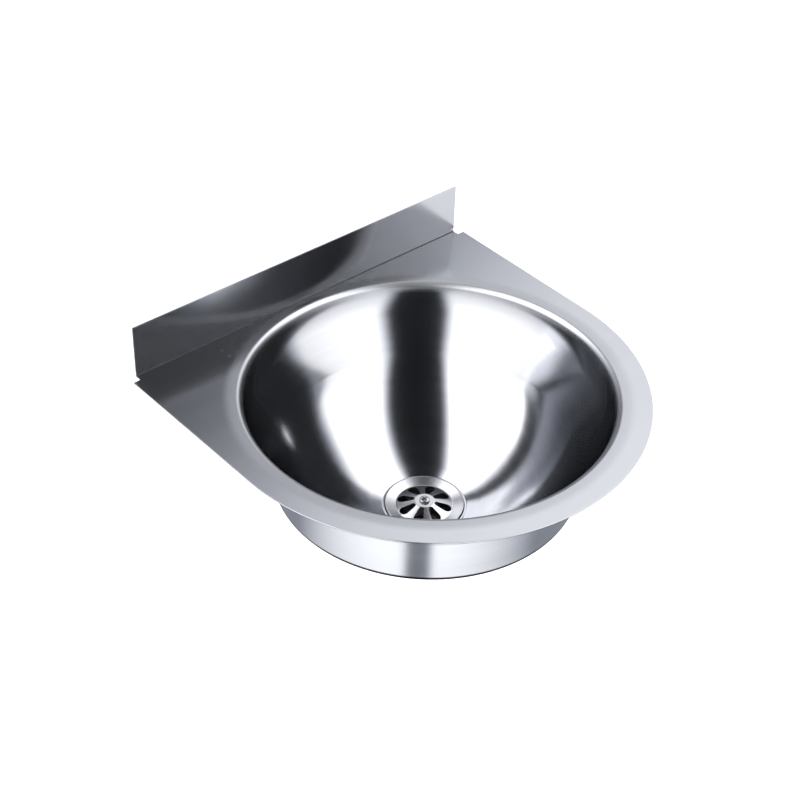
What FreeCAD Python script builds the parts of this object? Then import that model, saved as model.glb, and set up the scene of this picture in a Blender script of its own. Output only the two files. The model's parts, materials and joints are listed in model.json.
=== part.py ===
import FreeCAD, Part
import math
import os
from FreeCAD import Vector

# A wall-hung hand wash sink of stainless steel sheet: a D-shaped deck folded up into an upstand,
# a spun bowl welded flush into the deck, a skirt round the bowl, a hook-on wall fixing and a
# slotted waste held by one centre screw. Millimetres. +X is to the right, +Y goes into the wall
# and +Z is up. The origin is the middle of the two wall slots, in the plane of the wall.

# ---- sheet metal ----
SHEET = 1.2                  # deck, upstand, bowl and skirt
FIXING_SHEET = 2.5           # wall rail, hangers and gussets
FIXING_BEND = 1.5            # inside radius of their folds
FIXING_GAP = 0.5             # play between the hook, the rail's lip and the wall
PICK_MARGIN = 0.1            # how close to a height an edge lies to be picked for rounding

# ---- bowl ----
MOUTH_RADIUS = 173.6         # where the flat lip starts to turn down
BOWL_LIP = 2.0               # flat lip outside it, welded to the deck
RIM_BEND = 6.0
COLLAR_ANGLE = 72.0          # slope just under the rim, from level
COLLAR_SWEEP = 100.0         # radius that eases the collar into the wall
WALL_ANGLE = 59.5
FLOOR_ANGLE = 20.0
FLOOR_SWEEP = 160.0          # radius between wall and floor
SEAT_DEPTH = 136.6           # deck top to the waste's seat
SEAT_RADIUS = 41.0
SEAT_BEND = 3.0
WASTE_HOLE_RADIUS = 31.0

# ---- deck and upstand ----
DECK_LAND = 24.4             # bowl lip to the deck's front and side edges
REAR_LAND = 7.0              # bowl lip to the wall
DECK_HEIGHT = 45.0           # deck top above the wall slots
UPSTAND_HEIGHT = 53.0        # above the deck top
UPSTAND_INSET = 7.3          # upstand's end to the deck's side
UPSTAND_BEND = 1.8           # inside radius of the fold
CORNER_SETBACK = 7.7         # rear edge of the deck's corners to the wall

# ---- skirt ----
SKIRT_RADIUS = 143.0
SKIRT_DEPTH = 98.0           # deck top to its lower edge
SKIRT_BEND = 3.5
SKIRT_RETURN = 8.0           # lower edge turned in

# ---- wall fixing ----
RAIL_LENGTH = 270.0
RAIL_DROP = 25.0             # wall slots to the rail's lower face
RAIL_LIP = 17.0              # free height of the lip that carries the hooks
RAIL_LIP_ROUND = 1.2         # its upper edges, to lie in the bend of the hooks
SLOT_SPACING = 130.0
SLOT_WIDTH = 9.0
SLOT_LENGTH = 20.0
FLANGE_REACH = 24.0          # wall to the front of the screwed flanges
HANGER_SPACING = 220.0
HANGER_WIDTH = 40.0
HOOK_REACH = 11.0            # how far a hook hangs down behind the lip
GUSSET_REACH = 26.0
GUSSET_DROP = 52.0
GUSSET_CORNER = 6.0          # blunt ends of a gusset

LOCK_SCREW_RADIUS = 3.0      # M6
LOCK_HOLE_PLAY = 0.3
LOCK_WASHER_RADIUS = 6.0
LOCK_WASHER_THICK = 1.6
LOCK_HEAD_FLATS = 10.0
LOCK_HEAD_HEIGHT = 4.0
LOCK_NUT_HEIGHT = 5.0
LOCK_SCREW_PAST_NUT = 2.0

EARTH_TAG_WIDTH = 14.0
EARTH_TAG_LEG = 20.0
EARTH_TAG_FOOT = 14.0
EARTH_TAG_HOLE = 3.2
EARTH_TAG_INSET = 50.0       # its middle to the deck's side
EARTH_TAG_FROM_WALL = 48.0

# ---- waste ----
STRAINER_SHEET = 1.0
STRAINER_RADIUS = 36.2
STRAINER_EDGE = 1.9          # height of its turned-down edge
STRAINER_EDGE_BEND = 1.2
STRAINER_FALL = 0.35         # from the edge to the start of the dish
DISH_START_RADIUS = 31.2
DISH_START_BEND = 4.0
DISH_RADIUS = 27.3           # lowest ring of the dish
DISH_DEPTH = 2.7
DISH_BEND = 2.0
HUB_RISE = 1.9               # hub above the strainer's edge
HUB_RADIUS = 9.4
HUB_BEND = 2.0
SLOT_COUNT = 8
SLOT_TURN = 34.0             # first slot, from +X
SLOT_INNER_REACH = 9.8
SLOT_INNER_ROUND = 2.6
SLOT_OUTER_REACH = 26.4
SLOT_OUTER_ROUND = 4.7

SCREW_RADIUS = 2.5           # M5
SCREW_PLAY = 0.2             # in the strainer
SCREW_HEAD_RADIUS = 4.75
SCREW_HEAD_HEIGHT = 2.7
SCREW_HEAD_ROUND = 1.4
SCREW_LENGTH = 26.0
CROSS_WIDTH = 1.2
CROSS_LENGTH = 5.0
CROSS_DEPTH = 1.5

FLANGE_SEAL_THICK = 1.3
FLANGE_SEAL_INSET = 1.2      # inside the strainer's edge
SEAL_PAST_HOLE = 1.4
WASTE_WASHER_THICK = 2.5
WASTE_FLANGE_RADIUS = 38.0
WASTE_FLANGE_THICK = 3.5
WASTE_WALL = 3.4
CUP_RADIUS = 32.5
CUP_DEPTH = 16.0
TAIL_RADIUS = 23.9           # G 1 1/2 thread, outside
TAIL_NECK_DROP = 12.0        # cup to tail
TAIL_LENGTH = 28.0
SPIDER_ARMS = 4
SPIDER_ARM_THICK = 3.0
SPIDER_ARM_HEIGHT = 9.0
SPIDER_DROP = 5.0            # waste flange to the top of the arms
BOSS_RADIUS = 6.5
BOSS_HEIGHT = 16.0
INSERT_RADIUS = 4.2
INSERT_HEIGHT = 12.0
THREAD_PLAY = 0.05           # screws in nuts and insert

# ---- places that follow from the sizes ----
LIP_RADIUS = MOUTH_RADIUS + BOWL_LIP
DECK_RADIUS = LIP_RADIUS + DECK_LAND
BOWL_Y = -(LIP_RADIUS + REAR_LAND)
DECK_UNDER = DECK_HEIGHT - SHEET
SEAT_Z = DECK_HEIGHT - SEAT_DEPTH
FLANGE_Z = SEAT_Z + FLANGE_SEAL_THICK + STRAINER_SHEET
HUB_Z = FLANGE_Z + HUB_RISE
WASTE_TOP = SEAT_Z - SHEET - WASTE_WASHER_THICK
TAIL_END = WASTE_TOP - CUP_DEPTH - TAIL_NECK_DROP - TAIL_LENGTH
BOSS_TOP = WASTE_TOP - SPIDER_DROP
EARTH_TAG_X = DECK_RADIUS - EARTH_TAG_INSET
UP = Vector(0, 0, 1)
BOWL_AXIS = Vector(0, BOWL_Y, 0)

# The fixing in section, from the wall forward: hook, lip, hanger leg.
HOOK_BACK = -FIXING_GAP
LIP_BACK = HOOK_BACK - FIXING_SHEET - FIXING_GAP
LEG_BACK = LIP_BACK - FIXING_SHEET - FIXING_GAP
LEG_FRONT = LEG_BACK - FIXING_SHEET
LIP_TOP = DECK_UNDER - FIXING_SHEET
RAIL_FLANGE_TOP = -RAIL_DROP + FIXING_SHEET
LOCK_Y = (LEG_FRONT - FLANGE_REACH) / 2


def turned(angle):
    """Direction of travel down a slope that runs towards the bowl's axis."""
    return Vector(-math.cos(math.radians(angle)), -math.sin(math.radians(angle)), 0)


def crossing(start, start_way, end, end_way):
    """Where a line from start along start_way meets a line through end along end_way."""
    gap = end - start
    run = (gap.x * end_way.y - gap.y * end_way.x) / (
        start_way.x * end_way.y - start_way.y * end_way.x)
    return start + start_way * run


def side_edges(corners, bends, aside, place):
    """Lines and arcs along the corners, all moved aside to the right. A bend of 0 is sharp."""
    ways = [(b - a).normalize() for a, b in zip(corners, corners[1:])]
    rights = [Vector(way.y, -way.x, 0) for way in ways]
    edges = []
    last = corners[0] + rights[0] * aside
    for index, bend in enumerate(bends):
        corner = corners[index + 1]
        before, after = ways[index], ways[index + 1]
        if bend == 0:
            mitre = (rights[index] + rights[index + 1]) / (1 + before.dot(after))
            turn = corner + mitre * aside
            edges.append(Part.LineSegment(place(last), place(turn)).toShape())
            last = turn
            continue
        left_turn = before.x * after.y - before.y * after.x > 0
        reach = bend * math.tan(before.getAngle(after) / 2)
        start = corner - before * reach
        centre = start + rights[index] * (-bend if left_turn else bend)
        radius = bend + aside if left_turn else bend - aside
        middle = centre + (corner - centre).normalize() * radius
        first = start + rights[index] * aside
        end = corner + after * reach + rights[index + 1] * aside
        if last.distanceToPoint(first) > 1e-6:
            edges.append(Part.LineSegment(place(last), place(first)).toShape())
        edges.append(Part.Arc(place(first), place(middle), place(end)).toShape())
        last = end
    final = corners[-1] + rights[-1] * aside
    edges.append(Part.LineSegment(place(last), place(final)).toShape())
    return edges


def closed_face(edges, *extra_points):
    """A face whose outline is the edges and then straight lines through the extra points."""
    start = edges[0].firstVertex(True).Point
    points = [edges[-1].lastVertex(True).Point, *extra_points, start]
    closing = [Part.LineSegment(a, b).toShape() for a, b in zip(points, points[1:])]
    return Part.Face(Part.Wire(edges + closing))


def sheet_face(corners, bends, thickness, place):
    """Section of a bent sheet. Metal lies to the right of the corners, or left if negative."""
    near = side_edges(corners, bends, 0, place)
    far = side_edges(corners, bends, thickness, place)
    far_points = [far[-1].lastVertex(True).Point, far[0].firstVertex(True).Point]
    caps = [
        Part.LineSegment(near[-1].lastVertex(True).Point, far_points[0]).toShape(),
        Part.LineSegment(far_points[1], near[0].firstVertex(True).Point).toShape(),
    ]
    return Part.Face(Part.Wire(Part.__sortEdges__(near + caps + far)))


def round_section(flat):
    """Places a section point by its distance from the bowl's axis and its height."""
    return Vector(flat.x, BOWL_Y, flat.y)


def side_section(flat):
    """Places a section point by its Y and its height."""
    return Vector(0, flat.x, flat.y)


def spun(face):
    return face.revolve(BOWL_AXIS, UP, 360)


def ring(outer, inner, bottom, height):
    base = Vector(0, BOWL_Y, bottom)
    return Part.makeCylinder(outer, height, base).cut(Part.makeCylinder(inner, height, base))


def folded(face, middle_x, width):
    face.translate(Vector(middle_x - width / 2, 0, 0))
    return face.extrude(Vector(width, 0, 0))


def hexagon(flats, height, base):
    corner = flats / math.sqrt(3)
    points = [
        base + Vector(corner * math.cos(math.radians(60 * n)),
                      corner * math.sin(math.radians(60 * n)), 0)
        for n in range(7)
    ]
    return Part.Face(Part.makePolygon(points)).extrude(UP * height)


def bowl_corners():
    """Section of the bowl's wet side, from the welded lip to the waste hole."""
    lip = Vector(LIP_RADIUS, DECK_HEIGHT, 0)
    rim_reach = RIM_BEND * math.tan(math.radians(COLLAR_ANGLE) / 2)
    ease_reach = COLLAR_SWEEP * math.tan(math.radians(COLLAR_ANGLE - WALL_ANGLE) / 2)
    rim = Vector(MOUTH_RADIUS - rim_reach, DECK_HEIGHT, 0)
    collar = rim + turned(COLLAR_ANGLE) * (rim_reach + ease_reach)
    seat = Vector(SEAT_RADIUS, SEAT_Z, 0)
    foot = crossing(collar, turned(WALL_ANGLE), seat, turned(FLOOR_ANGLE))
    hole = Vector(WASTE_HOLE_RADIUS, SEAT_Z, 0)
    return [lip, rim, collar, foot, seat, hole]


BOWL_BENDS = [RIM_BEND, COLLAR_SWEEP, FLOOR_SWEEP, SEAT_BEND]


def make_bowl():
    return spun(sheet_face(bowl_corners(), BOWL_BENDS, -SHEET, round_section))


def bowl_block():
    """Everything inside the bowl's dry side, to trim what is welded to it."""
    outside = side_edges(bowl_corners(), BOWL_BENDS, -SHEET, round_section)
    foot = Vector(0, BOWL_Y, SEAT_Z - SHEET)
    top = Vector(0, BOWL_Y, DECK_UNDER)
    return spun(closed_face(outside, foot, top))


def make_deck():
    """Deck plate with a round front, folded up at the back into the upstand."""
    side = DECK_RADIUS
    rear = -CORNER_SETBACK
    front = Part.Arc(Vector(-side, BOWL_Y, DECK_UNDER), Vector(0, BOWL_Y - side, DECK_UNDER),
                     Vector(side, BOWL_Y, DECK_UNDER)).toShape()
    rim = Part.Wire([front] + Part.makePolygon([
        Vector(side, BOWL_Y, DECK_UNDER), Vector(side, rear, DECK_UNDER),
        Vector(-side, rear, DECK_UNDER), Vector(-side, BOWL_Y, DECK_UNDER)]).Edges)
    plate = Part.Face(rim).extrude(UP * SHEET)
    fold = [
        Vector(rear, DECK_HEIGHT, 0),
        Vector(-SHEET, DECK_HEIGHT, 0),
        Vector(-SHEET, DECK_HEIGHT + UPSTAND_HEIGHT, 0),
    ]
    upstand = folded(sheet_face(fold, [UPSTAND_BEND], SHEET, side_section),
                     0, 2 * (side - UPSTAND_INSET))
    mouth = Part.makeCylinder(LIP_RADIUS, SHEET, Vector(0, BOWL_Y, DECK_UNDER))
    return plate.fuse(upstand).cut(mouth).removeSplitter()


def make_skirt():
    """Rolled ring welded to the bowl's dry side, its lower edge turned in."""
    bottom = DECK_HEIGHT - SKIRT_DEPTH
    corners = [
        Vector(SKIRT_RADIUS, DECK_UNDER, 0),
        Vector(SKIRT_RADIUS, bottom, 0),
        Vector(SKIRT_RADIUS - SKIRT_RETURN, bottom, 0),
    ]
    return spun(sheet_face(corners, [SKIRT_BEND], SHEET, round_section)).cut(bowl_block())


def lock_hole(x, z):
    radius = LOCK_SCREW_RADIUS + LOCK_HOLE_PLAY
    return Part.makeCylinder(radius, FIXING_SHEET, Vector(x, LOCK_Y, z))


def wall_slot(x):
    half = (SLOT_LENGTH - SLOT_WIDTH) / 2
    inward = Vector(0, -1, 0)
    ends = [Part.makeCylinder(SLOT_WIDTH / 2, FIXING_SHEET, Vector(x + way * half, 0, 0), inward)
            for way in (-1, 1)]
    middle = Part.makeBox(2 * half, FIXING_SHEET, SLOT_WIDTH,
                          Vector(x - half, -FIXING_SHEET, -SLOT_WIDTH / 2))
    return middle.fuse(ends)


def make_wall_rail():
    """Rail that is screwed to the wall; its upper lip stands clear of the wall for the hooks."""
    step = LIP_TOP - RAIL_LIP
    corners = [
        Vector(-FLANGE_REACH, -RAIL_DROP, 0),
        Vector(0, -RAIL_DROP, 0),
        Vector(0, step + LIP_BACK, 0),
        Vector(LIP_BACK, step, 0),
        Vector(LIP_BACK, LIP_TOP, 0),
    ]
    outside = FIXING_BEND + FIXING_SHEET
    bends = [outside, outside, FIXING_BEND]
    rail = folded(sheet_face(corners, bends, -FIXING_SHEET, side_section), 0, RAIL_LENGTH)
    lip_edges = [
        edge for edge in rail.Edges
        if edge.BoundBox.ZMin > LIP_TOP - PICK_MARGIN and edge.BoundBox.XLength > FIXING_SHEET
    ]
    rail = rail.makeFillet(RAIL_LIP_ROUND, lip_edges)
    for way in (-1, 1):
        rail = rail.cut(wall_slot(way * SLOT_SPACING / 2))
        rail = rail.cut(lock_hole(way * HANGER_SPACING / 2, -RAIL_DROP))
    return rail


def make_hanger(x):
    """Hook welded under the deck; its leg ends in a flange that is screwed to the rail."""
    corners = [
        Vector(HOOK_BACK, DECK_UNDER - FIXING_SHEET - HOOK_REACH, 0),
        Vector(HOOK_BACK, DECK_UNDER, 0),
        Vector(LEG_FRONT, DECK_UNDER, 0),
        Vector(LEG_FRONT, RAIL_FLANGE_TOP + FIXING_SHEET, 0),
        Vector(-FLANGE_REACH, RAIL_FLANGE_TOP + FIXING_SHEET, 0),
    ]
    outside = FIXING_BEND + FIXING_SHEET
    bends = [outside, outside, FIXING_BEND]
    hanger = folded(sheet_face(corners, bends, -FIXING_SHEET, side_section), x, HANGER_WIDTH)
    return hanger.cut(lock_hole(x, RAIL_FLANGE_TOP))


def make_gusset(x):
    """Blunt triangle that stiffens a hanger's leg against the deck."""
    reach = LEG_FRONT - GUSSET_REACH
    foot = DECK_UNDER - GUSSET_DROP
    outline = Part.makePolygon([
        Vector(0, LEG_FRONT, DECK_UNDER - FIXING_BEND - FIXING_SHEET),
        Vector(0, LEG_FRONT, foot),
        Vector(0, LEG_FRONT - GUSSET_CORNER, foot),
        Vector(0, reach, DECK_UNDER - GUSSET_CORNER),
        Vector(0, reach, DECK_UNDER),
        Vector(0, LEG_FRONT - FIXING_BEND, DECK_UNDER),
        Vector(0, LEG_FRONT, DECK_UNDER - FIXING_BEND - FIXING_SHEET),
    ])
    return folded(Part.Face(outline), x, FIXING_SHEET)


def pair(make):
    """One solid at each hanger, kept as a group."""
    return Part.makeCompound([make(way * HANGER_SPACING / 2) for way in (-1, 1)])


def make_lock_screw(x):
    head_bottom = -RAIL_DROP - LOCK_WASHER_THICK - LOCK_HEAD_HEIGHT
    top = RAIL_FLANGE_TOP + FIXING_SHEET + LOCK_NUT_HEIGHT + LOCK_SCREW_PAST_NUT
    base = Vector(x, LOCK_Y, head_bottom)
    head = hexagon(LOCK_HEAD_FLATS, LOCK_HEAD_HEIGHT, base)
    shank = Part.makeCylinder(LOCK_SCREW_RADIUS, top - head_bottom, base)
    return head.fuse(shank)


def make_lock_washer(x):
    base = Vector(x, LOCK_Y, -RAIL_DROP - LOCK_WASHER_THICK)
    hole = Part.makeCylinder(LOCK_SCREW_RADIUS + LOCK_HOLE_PLAY, LOCK_WASHER_THICK, base)
    return Part.makeCylinder(LOCK_WASHER_RADIUS, LOCK_WASHER_THICK, base).cut(hole)


def make_weld_nut(x):
    base = Vector(x, LOCK_Y, RAIL_FLANGE_TOP + FIXING_SHEET)
    hole = Part.makeCylinder(LOCK_SCREW_RADIUS + THREAD_PLAY, LOCK_NUT_HEIGHT, base)
    return hexagon(LOCK_HEAD_FLATS, LOCK_NUT_HEIGHT, base).cut(hole)


def make_earth_tag():
    """Angle welded under the deck for a bonding wire."""
    back = -EARTH_TAG_FROM_WALL
    corners = [
        Vector(back - EARTH_TAG_FOOT, DECK_UNDER, 0),
        Vector(back, DECK_UNDER, 0),
        Vector(back, DECK_UNDER - EARTH_TAG_LEG, 0),
    ]
    tag = folded(sheet_face(corners, [FIXING_BEND + SHEET], SHEET, side_section),
                 EARTH_TAG_X, EARTH_TAG_WIDTH)
    hole_z = DECK_UNDER - EARTH_TAG_LEG + EARTH_TAG_WIDTH / 2
    hole = Part.makeCylinder(EARTH_TAG_HOLE, SHEET, Vector(EARTH_TAG_X, back, hole_z),
                             Vector(0, -1, 0))
    return tag.cut(hole)


def strainer_corners():
    """Section of the strainer's upper side, from its edge up over the dish to the screw hole."""
    return [
        Vector(STRAINER_RADIUS, FLANGE_Z - STRAINER_EDGE, 0),
        Vector(STRAINER_RADIUS, FLANGE_Z, 0),
        Vector(DISH_START_RADIUS, FLANGE_Z - STRAINER_FALL, 0),
        Vector(DISH_RADIUS, FLANGE_Z - DISH_DEPTH, 0),
        Vector(HUB_RADIUS, HUB_Z, 0),
        Vector(SCREW_RADIUS + SCREW_PLAY, HUB_Z, 0),
    ]


STRAINER_BENDS = [STRAINER_EDGE_BEND, DISH_START_BEND, DISH_BEND, HUB_BEND]


def strainer_slot():
    """One slot along +X, narrow at the hub and wide at the rim, as a prism to cut with."""
    inner = SLOT_INNER_REACH + SLOT_INNER_ROUND
    outer = SLOT_OUTER_REACH - SLOT_OUTER_ROUND
    flare = math.acos((SLOT_INNER_ROUND - SLOT_OUTER_ROUND) / (outer - inner))
    touch = Vector(math.cos(flare), math.sin(flare), 0)
    mirror = Vector(touch.x, -touch.y, 0)
    inner_centre = Vector(inner, 0, 0)
    outer_centre = Vector(outer, 0, 0)
    along = Vector(1, 0, 0)
    outline = Part.Wire([
        Part.Arc(inner_centre + touch * SLOT_INNER_ROUND, inner_centre - along * SLOT_INNER_ROUND,
                 inner_centre + mirror * SLOT_INNER_ROUND).toShape(),
        Part.LineSegment(inner_centre + mirror * SLOT_INNER_ROUND,
                         outer_centre + mirror * SLOT_OUTER_ROUND).toShape(),
        Part.Arc(outer_centre + mirror * SLOT_OUTER_ROUND, outer_centre + along * SLOT_OUTER_ROUND,
                 outer_centre + touch * SLOT_OUTER_ROUND).toShape(),
        Part.LineSegment(outer_centre + touch * SLOT_OUTER_ROUND,
                         inner_centre + touch * SLOT_INNER_ROUND).toShape(),
    ])
    height = 2 * (HUB_RISE + DISH_DEPTH + STRAINER_SHEET)
    slot = Part.Face(outline).extrude(UP * height)
    slot.translate(Vector(0, BOWL_Y, FLANGE_Z - height / 2))
    return slot


def make_strainer():
    strainer = spun(sheet_face(strainer_corners(), STRAINER_BENDS, -STRAINER_SHEET,
                               round_section))
    slots = []
    for number in range(SLOT_COUNT):
        slot = strainer_slot()
        slot.rotate(BOWL_AXIS, UP, SLOT_TURN + number * 360 / SLOT_COUNT)
        slots.append(slot)
    return strainer.cut(slots)


def strainer_block():
    """Everything above the strainer's under side, to shape the seal that it presses on."""
    under = side_edges(strainer_corners(), STRAINER_BENDS, -STRAINER_SHEET, round_section)
    inner_top = Vector(SCREW_RADIUS, BOWL_Y, HUB_Z + STRAINER_EDGE)
    outer_top = Vector(STRAINER_RADIUS, BOWL_Y, HUB_Z + STRAINER_EDGE)
    return spun(closed_face(under, inner_top, outer_top))


def make_flange_seal():
    """Seal between the bowl's seat and the strainer, pressed to the strainer's shape."""
    outer = STRAINER_RADIUS - FLANGE_SEAL_INSET
    inner = WASTE_HOLE_RADIUS + SEAL_PAST_HOLE
    height = FLANGE_SEAL_THICK + STRAINER_SHEET
    return ring(outer, inner, SEAT_Z, height).cut(strainer_block())


def make_strainer_screw():
    """Pan-head screw with a cross recess."""
    base = Vector(0, BOWL_Y, HUB_Z)
    head = Part.makeCylinder(SCREW_HEAD_RADIUS, SCREW_HEAD_HEIGHT, base)
    top = HUB_Z + SCREW_HEAD_HEIGHT
    crown = [edge for edge in head.Edges if edge.BoundBox.ZMin > top - PICK_MARGIN]
    head = head.makeFillet(SCREW_HEAD_ROUND, crown)
    for length, width in ((CROSS_LENGTH, CROSS_WIDTH), (CROSS_WIDTH, CROSS_LENGTH)):
        corner = Vector(-length / 2, BOWL_Y - width / 2, top - CROSS_DEPTH)
        head = head.cut(Part.makeBox(length, width, CROSS_DEPTH, corner))
    shank = Part.makeCylinder(SCREW_RADIUS, SCREW_LENGTH, base, -UP)
    return head.fuse(shank)


def make_waste_washer():
    return ring(WASTE_FLANGE_RADIUS - SEAL_PAST_HOLE, WASTE_HOLE_RADIUS + SEAL_PAST_HOLE,
                WASTE_TOP, WASTE_WASHER_THICK)


def make_waste_body():
    """Cup under the bowl with a spider for the screw and a threaded tail for the trap."""
    neck = WASTE_TOP - CUP_DEPTH
    corners = [
        Vector(CUP_RADIUS, WASTE_TOP, 0),
        Vector(CUP_RADIUS, neck, 0),
        Vector(TAIL_RADIUS, neck - TAIL_NECK_DROP, 0),
        Vector(TAIL_RADIUS, TAIL_END, 0),
    ]
    cup = spun(sheet_face(corners, [0, 0], WASTE_WALL, round_section))
    inside = CUP_RADIUS - WASTE_WALL
    flange = ring(WASTE_FLANGE_RADIUS, inside, WASTE_TOP - WASTE_FLANGE_THICK,
                  WASTE_FLANGE_THICK)
    boss = Part.makeCylinder(BOSS_RADIUS, BOSS_HEIGHT, Vector(0, BOWL_Y, BOSS_TOP), -UP)
    arms = []
    for number in range(SPIDER_ARMS // 2):
        arm = Part.makeBox(2 * inside + WASTE_WALL, SPIDER_ARM_THICK, SPIDER_ARM_HEIGHT,
                           Vector(-inside - WASTE_WALL / 2, BOWL_Y - SPIDER_ARM_THICK / 2,
                                  BOSS_TOP - SPIDER_ARM_HEIGHT))
        arm.rotate(BOWL_AXIS, UP, number * 360 / SPIDER_ARMS)
        arms.append(arm)
    body = cup.fuse([flange, boss, *arms])
    pocket = Part.makeCylinder(INSERT_RADIUS, INSERT_HEIGHT, Vector(0, BOWL_Y, BOSS_TOP), -UP)
    below = Part.makeCylinder(SCREW_RADIUS + SCREW_PLAY, BOSS_HEIGHT,
                              Vector(0, BOWL_Y, BOSS_TOP), -UP)
    return body.cut([pocket, below]).removeSplitter()


def make_screw_insert():
    """Threaded insert in the spider's boss."""
    return ring(INSERT_RADIUS, SCREW_RADIUS + THREAD_PLAY, BOSS_TOP - INSERT_HEIGHT,
                INSERT_HEIGHT)


LEFT = -HANGER_SPACING / 2
RIGHT = HANGER_SPACING / 2

sub_parts = {
    "deck_with_upstand": make_deck(),
    "bowl": make_bowl(),
    "skirt": make_skirt(),
    "wall_rail": make_wall_rail(),
    "hanger_left": make_hanger(LEFT),
    "hanger_right": make_hanger(RIGHT),
    "gusset_left": make_gusset(LEFT),
    "gusset_right": make_gusset(RIGHT),
    "lock_screws": pair(make_lock_screw),
    "lock_washers": pair(make_lock_washer),
    "weld_nuts": pair(make_weld_nut),
    "earth_tag": make_earth_tag(),
    "strainer": make_strainer(),
    "strainer_screw": make_strainer_screw(),
    "screw_insert": make_screw_insert(),
    "flange_seal": make_flange_seal(),
    "waste_washer": make_waste_washer(),
    "waste_body": make_waste_body(),
}

os.makedirs("parts", exist_ok=True)
for node, shape in sub_parts.items():
    shape.exportStep(f"parts/{node}.step")
    print(node, len(shape.Solids), "solid(s)", round(shape.Volume), "mm3",
          "valid" if shape.isValid() else "NOT VALID")
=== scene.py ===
import json
from math import acos, atan2, ceil, cos, inf, pi, radians, sin, tan

import bmesh
import bpy
from mathutils import Matrix, Vector
from mathutils.geometry import delaunay_2d_cdt


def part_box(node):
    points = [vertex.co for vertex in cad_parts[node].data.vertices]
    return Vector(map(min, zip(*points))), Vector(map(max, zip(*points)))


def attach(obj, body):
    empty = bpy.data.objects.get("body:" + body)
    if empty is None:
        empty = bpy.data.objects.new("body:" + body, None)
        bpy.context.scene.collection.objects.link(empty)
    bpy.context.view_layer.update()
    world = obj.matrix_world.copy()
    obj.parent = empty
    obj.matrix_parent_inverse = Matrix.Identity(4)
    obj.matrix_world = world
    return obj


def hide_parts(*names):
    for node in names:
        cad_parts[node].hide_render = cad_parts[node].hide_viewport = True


# Looks of a wall-hung hand wash sink: satin deck with an upstand, bright spun bowl, rolled skirt
# and a pressed strainer, in a studio that is drawn by direction.
# Metres, in the frame of the solids: +X right, +Y into the wall, +Z up.

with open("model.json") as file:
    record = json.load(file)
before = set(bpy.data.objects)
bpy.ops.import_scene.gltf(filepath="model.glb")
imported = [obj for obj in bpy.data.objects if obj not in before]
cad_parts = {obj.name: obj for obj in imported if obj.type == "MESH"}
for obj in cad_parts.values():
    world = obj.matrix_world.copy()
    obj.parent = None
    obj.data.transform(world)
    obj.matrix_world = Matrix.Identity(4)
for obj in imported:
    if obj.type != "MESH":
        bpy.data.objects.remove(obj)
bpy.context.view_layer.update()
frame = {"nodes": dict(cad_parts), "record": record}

MM = 0.001
UP = Vector((0, 0, 1))

# ---- places and sizes of the solids ----
BOWL_LOW, BOWL_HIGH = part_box("bowl")
DECK_LOW, DECK_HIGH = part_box("deck_with_upstand")
SKIRT_LOW, SKIRT_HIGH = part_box("skirt")
STRAINER_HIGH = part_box("strainer")[1]
SCREW_LOW, SCREW_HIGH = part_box("strainer_screw")
WASTE_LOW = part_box("waste_body")[0]
HANGER_LOW, HANGER_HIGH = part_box("hanger_right")
GUSSET_LOW, GUSSET_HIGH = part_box("gusset_right")
TAG_LOW, TAG_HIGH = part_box("earth_tag")

DECK_TOP = BOWL_HIGH.z
DECK_UNDER = DECK_LOW.z
SHEET = DECK_TOP - DECK_UNDER
LIP_RADIUS = BOWL_HIGH.x
SEAT_TOP = BOWL_LOW.z + SHEET
DECK_RADIUS = DECK_HIGH.x
BOWL_Y = DECK_LOW.y + DECK_RADIUS
AXIS = Vector((0, BOWL_Y, 0))
UPSTAND_TOP = DECK_HIGH.z
SKIRT_RADIUS = SKIRT_HIGH.x
HUB_TOP = STRAINER_HIGH.z

# ---- bowl ----
LIP_WIDTH = 2.0 * MM  # ground flush with the deck, in the deck's finish
GROUND_PAST = 1.0 * MM  # how far that finish runs on into the rim's bend
GROUND_DEPTH = 0.2 * MM
RIM_BEND = 6.0 * MM
COLLAR_ANGLE = 72.0
COLLAR_SWEEP = 100.0 * MM
WALL_ANGLE = 59.5
FLOOR_ANGLE = 20.0
FLOOR_SWEEP = 160.0 * MM
SEAT_RADIUS = 40.0 * MM
SEAT_BEND = 2.0 * MM
WASTE_HOLE_RADIUS = 31.0 * MM

# ---- deck and upstand ----
UPSTAND_INSET = 7.3 * MM
UPSTAND_BEND = 0.3 * MM
CORNER_SETBACK = 7.7 * MM
DECK_REAR = -CORNER_SETBACK - BOWL_Y  # from the bowl's axis
EDGE_ROUND = 0.22 * MM

# ---- skirt ----
SKIRT_DROP = 2.6 * MM  # past the solid's edge, which is less round
SKIRT_BOTTOM = SKIRT_LOW.z - SKIRT_DROP
SKIRT_BEND = 6.5 * MM
SKIRT_RETURN = 8.0 * MM

# ---- strainer and its seal ----
STRAINER_SPREAD = 1.5 * MM  # past the solid's edge, as the photo shows it
STRAINER_RADIUS = STRAINER_HIGH.x + STRAINER_SPREAD
STRAINER_SHEET = 1.0 * MM
STRAINER_EDGE = 1.9 * MM
STRAINER_EDGE_BEND = 0.7 * MM
STRAINER_FALL = 0.1 * MM
DISH_START_RADIUS = 36.7 * MM
DISH_START_BEND = 0.8 * MM
DISH_RADIUS = 27.3 * MM
DISH_DEPTH = 3.1 * MM
DISH_BEND = 2.0 * MM
HUB_RADIUS = 9.4 * MM
HUB_BEND = 2.0 * MM
SCREW_HOLE_RADIUS = 2.7 * MM
SLOT_COUNT = 8
SLOT_TURN = 34.0
SLOT_INNER_REACH = 9.8 * MM
SLOT_INNER_ROUND = 2.6 * MM
SLOT_OUTER_REACH = 26.4 * MM
SLOT_OUTER_ROUND = 4.7 * MM
SLOT_ARC_STEPS = 12
SLOT_SIDE_STEPS = 8
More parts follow.
